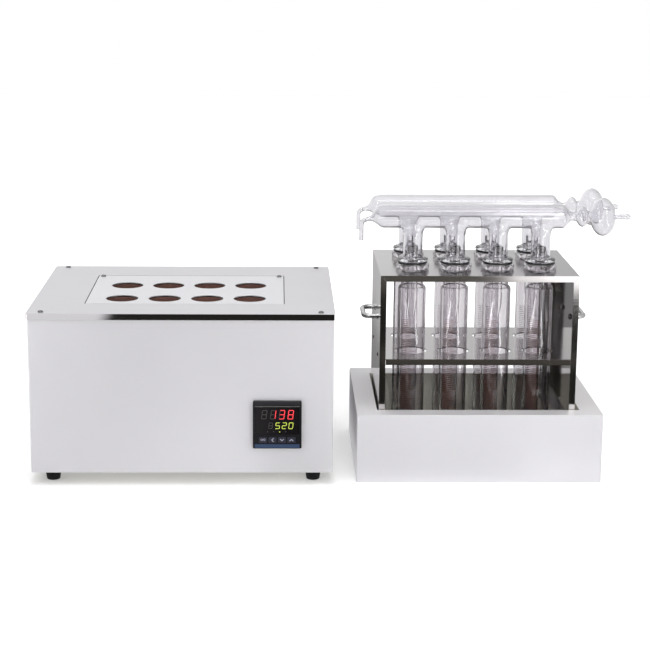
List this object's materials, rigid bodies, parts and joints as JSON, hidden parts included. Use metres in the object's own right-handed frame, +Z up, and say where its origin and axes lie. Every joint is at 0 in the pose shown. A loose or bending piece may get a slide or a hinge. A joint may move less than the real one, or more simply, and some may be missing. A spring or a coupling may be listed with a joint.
{
  "type": "block digester",
  "caption": "Block digester: box heater with wells and a temperature controller, beside a drip tray holding a lift-out rack of glass digestion tubes with glass fume manifolds.",
  "frame": {"origin": "centre of the bounding box's bottom face, on the bench between the heater and the drip tray", "axes": "+X from the heater towards the hose barbs on the right, +Y from the controller's side to the back, +Z up"},
  "size_m": [0.8982, 0.3746, 0.4189],
  "materials": {
    "case_steel": "satin, fine brushed",
    "insert_steel": "satin",
    "inner_steel": "mill",
    "rack_steel": "polished to a mirror",
    "handle_chrome": "polished",
    "screw_steel": "plain",
    "foot_rubber": "matt",
    "gasket_rubber": "satin",
    "insulation_fibre": "matt fibre board",
    "liner_ceramic": "matt fired",
    "heater_brass": "plain",
    "probe_steel": "plain",
    "sink_aluminium": "plain",
    "electric_plastic": "matt",
    "switch_plastic": "matt",
    "control_plastic": "matt",
    "bezel_plastic": "satin",
    "window_plastic": "gloss",
    "strip_plastic": "satin",
    "key_plastic": "satin",
    "tube_glass": "clear",
    "manifold_glass": "clear"
  },
  "bodies": {
    "base": {"case_shell": "case_steel", "base_plate": "inner_steel", "base_screws": "screw_steel", "feet": "foot_rubber", "foot_screws": "screw_steel", "foot_nuts": "screw_steel", "lid": "case_steel", "lid_screws": "screw_steel", "insert_plate": "insert_steel", "insert_screws": "screw_steel", "block_case": "inner_steel", "block_posts": "inner_steel", "insulation": "insulation_fibre", "well_liners": "liner_ceramic", "band_heaters": "heater_brass", "temperature_probe": "probe_steel", "heat_sink": "sink_aluminium", "relay": "electric_plastic", "terminal_block": "electric_plastic", "power_inlet": "switch_plastic", "switch_frame": "switch_plastic", "control_case": "control_plastic", "control_clamp": "control_plastic", "control_bezel": "bezel_plastic", "control_window": "window_plastic", "control_strip": "strip_plastic", "tray_shell": "case_steel", "tray_floor": "inner_steel", "rack_rails": "inner_steel"},
    "rack": {"rack_frame": "rack_steel", "rack_shelf": "rack_steel", "shelf_rivets": "screw_steel", "handle_left": "handle_chrome", "handle_right": "handle_chrome", "handle_screws": "screw_steel"},
    "front_tubes": {"front_tube_1": "tube_glass", "front_tube_2": "tube_glass", "front_tube_3": "tube_glass", "front_tube_4": "tube_glass", "front_gaskets": "gasket_rubber"},
    "back_tubes": {"back_tube_1": "tube_glass", "back_tube_2": "tube_glass", "back_tube_3": "tube_glass", "back_tube_4": "tube_glass", "back_gaskets": "gasket_rubber"},
    "front_manifold": {"front_manifold": "manifold_glass", "front_drip_tubes": "manifold_glass"},
    "back_manifold": {"back_manifold": "manifold_glass", "back_drip_tubes": "manifold_glass"},
    "rocker": {"switch_rocker": "switch_plastic"},
    "key_set": {"key_set": "key_plastic"},
    "key_shift": {"key_shift": "key_plastic"},
    "key_down": {"key_down": "key_plastic"},
    "key_up": {"key_up": "key_plastic"}
  },
  "joints": [
    {"name": "rack_lift", "type": "slide", "parent": "base", "child": "rack", "axis": [0, 0, 1], "range_m": [0, 0.15]},
    {"name": "front_tubes_lift", "type": "slide", "parent": "rack", "child": "front_tubes", "axis": [0, 0, 1], "range_m": [0, 0.3]},
    {"name": "back_tubes_lift", "type": "slide", "parent": "rack", "child": "back_tubes", "axis": [0, 0, 1], "range_m": [0, 0.3]},
    {"name": "front_manifold_lift", "type": "slide", "parent": "front_tubes", "child": "front_manifold", "axis": [0, 0, 1], "range_m": [0, 0.12]},
    {"name": "back_manifold_lift", "type": "slide", "parent": "back_tubes", "child": "back_manifold", "axis": [0, 0, 1], "range_m": [0, 0.12]},
    {"name": "power_switch", "type": "hinge", "parent": "base", "child": "rocker", "pos_m": [-0.31912, 0.18117, 0.06], "axis": [1, 0, 0], "range_deg": [0, 9]},
    {"name": "key_set_press", "type": "slide", "parent": "base", "child": "key_set", "axis": [0, 1, 0], "range_m": [0, 0.0005], "stiffness_N_per_m": 1000},
    {"name": "key_shift_press", "type": "slide", "parent": "base", "child": "key_shift", "axis": [0, 1, 0], "range_m": [0, 0.0005], "stiffness_N_per_m": 1000},
    {"name": "key_down_press", "type": "slide", "parent": "base", "child": "key_down", "axis": [0, 1, 0], "range_m": [0, 0.0005], "stiffness_N_per_m": 1000},
    {"name": "key_up_press", "type": "slide", "parent": "base", "child": "key_up", "axis": [0, 1, 0], "range_m": [0, 0.0005], "stiffness_N_per_m": 1000}
  ]
}
